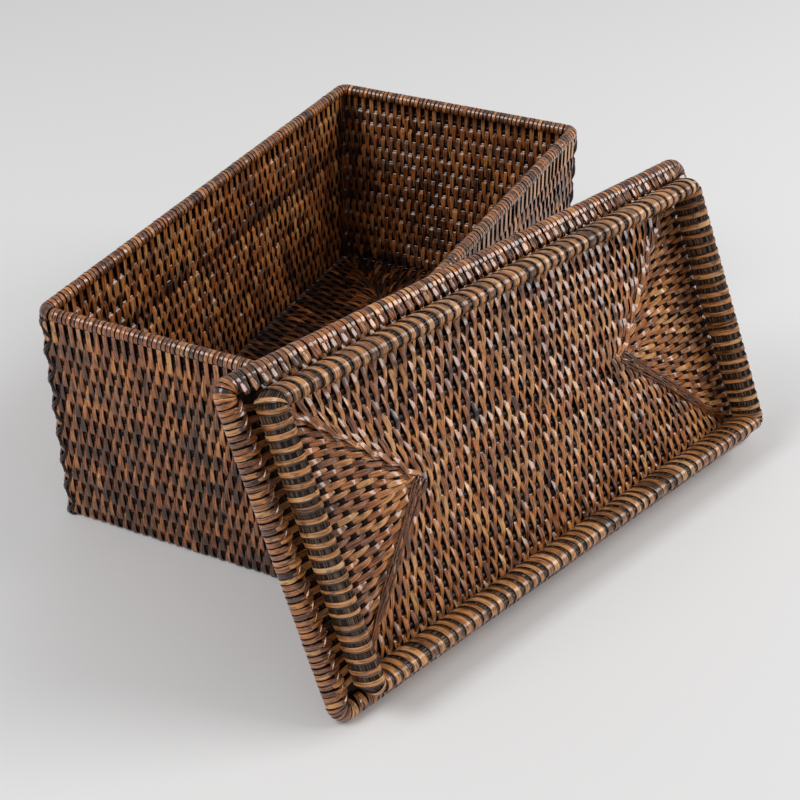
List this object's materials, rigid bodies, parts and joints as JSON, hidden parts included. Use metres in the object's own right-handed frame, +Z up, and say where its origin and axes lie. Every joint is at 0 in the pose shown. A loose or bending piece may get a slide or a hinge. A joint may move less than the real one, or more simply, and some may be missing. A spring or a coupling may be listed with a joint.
{
  "type": "rattan storage basket",
  "caption": "Rectangular rattan storage basket woven of glossy cane strips over dark rods, with its loose lid standing on edge against one corner.",
  "frame": {"origin": "middle of the basket's underside, on the surface that it stands on", "axes": "+Z up; +X along the basket's long side; -Y is the long side that the lid stands at"},
  "size_m": [0.4187, 0.3322, 0.1556],
  "materials": {
    "cane_strips": "lacquered",
    "pale_cane": "satin",
    "dark_lacing": "satin",
    "dark_rods": "satin"
  },
  "bodies": {
    "basket": {"floor_strips": "cane_strips", "floor_rod_1": "dark_rods", "floor_rod_2": "dark_rods", "floor_rod_3": "dark_rods", "floor_rod_4": "dark_rods", "floor_rod_5": "dark_rods", "floor_rod_6": "dark_rods", "floor_rod_7": "dark_rods", "floor_rod_8": "dark_rods", "floor_rod_9": "dark_rods", "wall_hoop_01": "dark_rods", "wall_hoop_02": "dark_rods", "wall_hoop_03": "dark_rods", "wall_hoop_04": "dark_rods", "wall_hoop_05": "dark_rods", "wall_hoop_06": "dark_rods", "wall_hoop_07": "dark_rods", "wall_hoop_08": "dark_rods", "wall_hoop_09": "dark_rods", "wall_hoop_10": "dark_rods", "wall_hoop_11": "dark_rods", "wall_hoop_12": "dark_rods", "wall_hoop_13": "dark_rods", "wall_hoop_14": "dark_rods", "far_short_wall_strips": "cane_strips", "far_long_wall_strips": "cane_strips", "near_short_wall_strips": "cane_strips", "near_long_wall_strips": "cane_strips", "corner_lacing_far": "dark_lacing", "corner_lacing_left": "dark_lacing", "corner_lacing_near": "dark_lacing", "corner_lacing_right": "dark_lacing", "rim_core": "dark_rods", "rim_binding": "cane_strips"},
    "lid": {"lid_panel_strips": "cane_strips", "lid_panel_rod_1": "dark_rods", "lid_panel_rod_2": "dark_rods", "lid_panel_rod_3": "dark_rods", "lid_panel_rod_4": "dark_rods", "lid_panel_rod_5": "dark_rods", "lid_panel_rod_6": "dark_rods", "lid_panel_rod_7": "dark_rods", "lid_panel_rod_8": "dark_rods", "lid_panel_rod_9": "dark_rods", "lid_frame_core": "dark_rods", "lid_frame_binding": "cane_strips", "lid_lip_core": "dark_rods", "lid_lip_binding": "pale_cane"}
  },
  "joints": [
    {"name": "lid_lift", "type": "slide", "parent": "basket", "child": "lid", "axis": [0, 0, 1], "range_m": [0, 0.16]}
  ]
}
